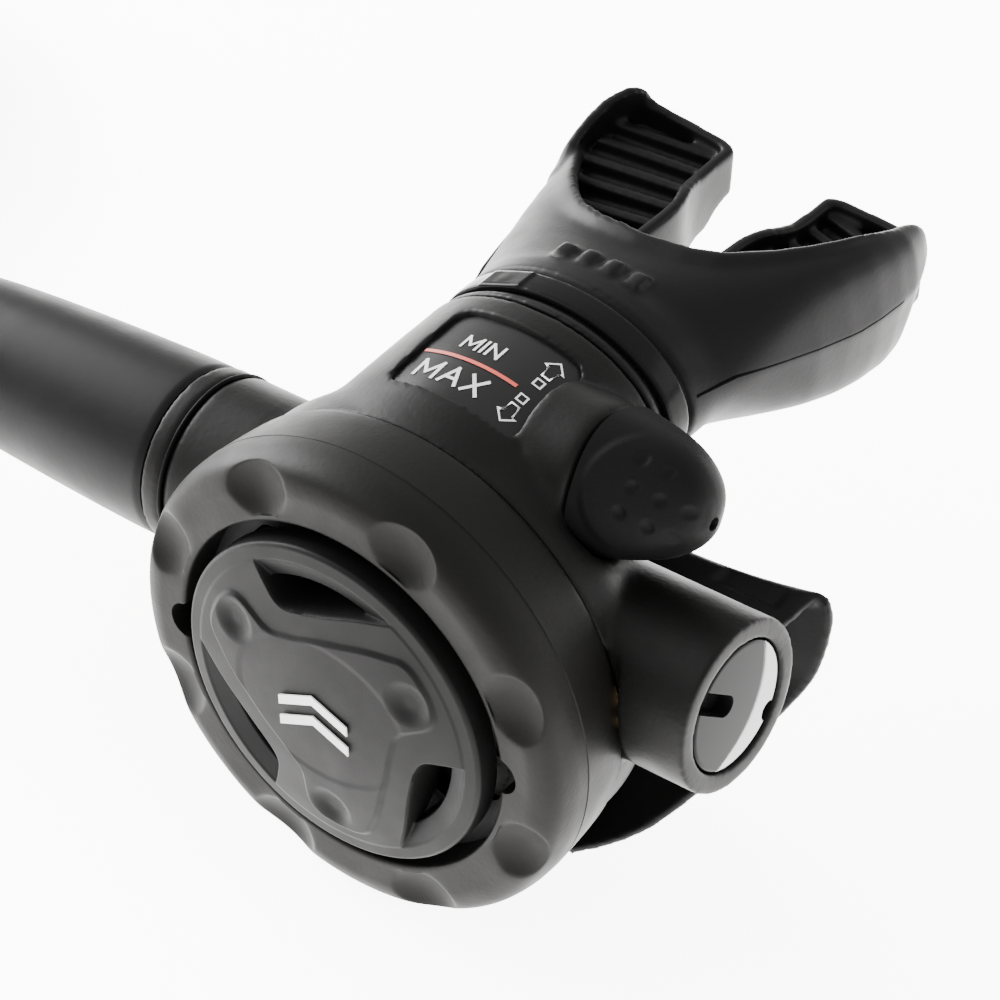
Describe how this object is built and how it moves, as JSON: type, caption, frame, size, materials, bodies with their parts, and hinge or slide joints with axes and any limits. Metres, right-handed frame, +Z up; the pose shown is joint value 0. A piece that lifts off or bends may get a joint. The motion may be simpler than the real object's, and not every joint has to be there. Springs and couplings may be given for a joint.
{
  "type": "scuba regulator second stage with hose",
  "caption": "Demand-valve second stage with a purge button, venturi knob, exhaust tee, bite mouthpiece and a low-pressure hose with a threaded end.",
  "frame": {"origin": "on the floor, under the middle of the second stage without its hose", "axes": "+Z up; -Y the way the purge button faces, +Y towards the mouthpiece; the hose leaves towards -X and the venturi knob is at +X"},
  "size_m": [0.3372, 0.146, 0.0762],
  "materials": {
    "case_plastic": "fine-grained moulded nylon, almost black",
    "ring_plastic": "soft-touch moulded cover ring, charcoal",
    "button_plastic": "moulded button, charcoal satin",
    "grille_plastic": "moulded grille, dark grey",
    "rubber": "moulded black rubber",
    "knob_rubber": "matte rubber grip",
    "silicone": "black silicone",
    "clear_silicone": "translucent silicone",
    "gloss_plastic": "polished moulded plastic",
    "label_plastic": "glossy black insert",
    "white_ink": "white print",
    "red_ink": "red print",
    "brass": "nickel-plated machined brass",
    "chrome": "chrome-plated brass",
    "steel": "stainless steel",
    "o_ring": "nitrile rubber",
    "hose_rubber": "smooth extruded hose rubber"
  },
  "bodies": {
    "housing": {"case": "case_plastic", "label_plate": "label_plastic", "label_stripe": "red_ink", "label_arrows": "white_ink", "cover_ring": "ring_plastic", "diaphragm_cover": "grille_plastic", "friction_ring": "case_plastic", "diaphragm": "clear_silicone", "purge_spring": "steel", "valve_barrel": "brass", "inlet_fitting": "chrome", "orifice": "brass", "orifice_o_ring": "o_ring", "arm_o_ring": "o_ring", "inlet_o_ring": "o_ring", "poppet_spring": "steel", "barrel_nut": "brass", "barrel_end_plug": "gloss_plastic", "plug_o_ring": "o_ring", "exhaust_seat": "case_plastic", "exhaust_valve": "silicone", "exhaust_tee": "rubber", "mouthpiece": "silicone", "mouthpiece_clamp": "gloss_plastic", "hose_nut": "chrome", "hose": "hose_rubber", "hose_coil": "hose_rubber", "hose_tail": "hose_rubber", "far_ferrule": "chrome", "first_stage_fitting": "chrome", "fitting_o_ring": "o_ring", "coil_tie": "rubber"},
    "button": {"purge_button": "button_plastic", "purge_mark": "white_ink"},
    "diaphragm_centre": {"diaphragm_disc": "steel"},
    "lever": {"demand_lever": "steel"},
    "valve": {"poppet": "grille_plastic", "poppet_seat": "silicone", "lever_washer": "steel", "lock_nut": "brass"},
    "venturi": {"venturi_knob": "knob_rubber", "knob_screw": "steel", "venturi_shaft": "case_plastic", "shaft_o_ring": "o_ring", "venturi_vane": "case_plastic"},
    "hose_end": {"hose_stem": "chrome", "hose_ferrule": "chrome", "hose_sleeve": "hose_rubber"}
  },
  "joints": [
    {"name": "purge_press", "type": "slide", "parent": "housing", "child": "button", "axis": [0, 1, 0], "range_m": [0, 0.003], "stiffness_N_per_m": 300, "springref_m": -0.002, "deforming": ["purge_spring"]},
    {"name": "diaphragm_travel", "type": "slide", "parent": "housing", "child": "diaphragm_centre", "axis": [0, 1, 0], "range_m": [0, 0.003], "deforming": ["diaphragm"]},
    {"name": "lever_swing", "type": "hinge", "parent": "housing", "child": "lever", "pos_m": [0.022, -0.0316, 0.0404], "axis": [0, 0, -1], "range_deg": [0, 7.8]},
    {"name": "valve_open", "type": "slide", "parent": "housing", "child": "valve", "axis": [1, 0, 0], "range_m": [0, 0.00125], "deforming": ["poppet_spring"]},
    {"name": "venturi_turn", "type": "hinge", "parent": "housing", "child": "venturi", "pos_m": [0.03, -0.016, 0.0641], "axis": [1, 0, 0], "range_deg": [-40, 40]},
    {"name": "hose_swivel", "type": "hinge", "parent": "housing", "child": "hose_end", "pos_m": [-0.06, -0.0225, 0.0404], "axis": [1, 0, 0], "continuous": true}
  ],
  "couplings": [
    {"joint": "diaphragm_travel", "follows": "purge_press", "ratio": 1},
    {"joint": "lever_swing", "follows": "purge_press", "rad_per_m": 44},
    {"joint": "valve_open", "follows": "purge_press", "ratio": 0.403}
  ]
}
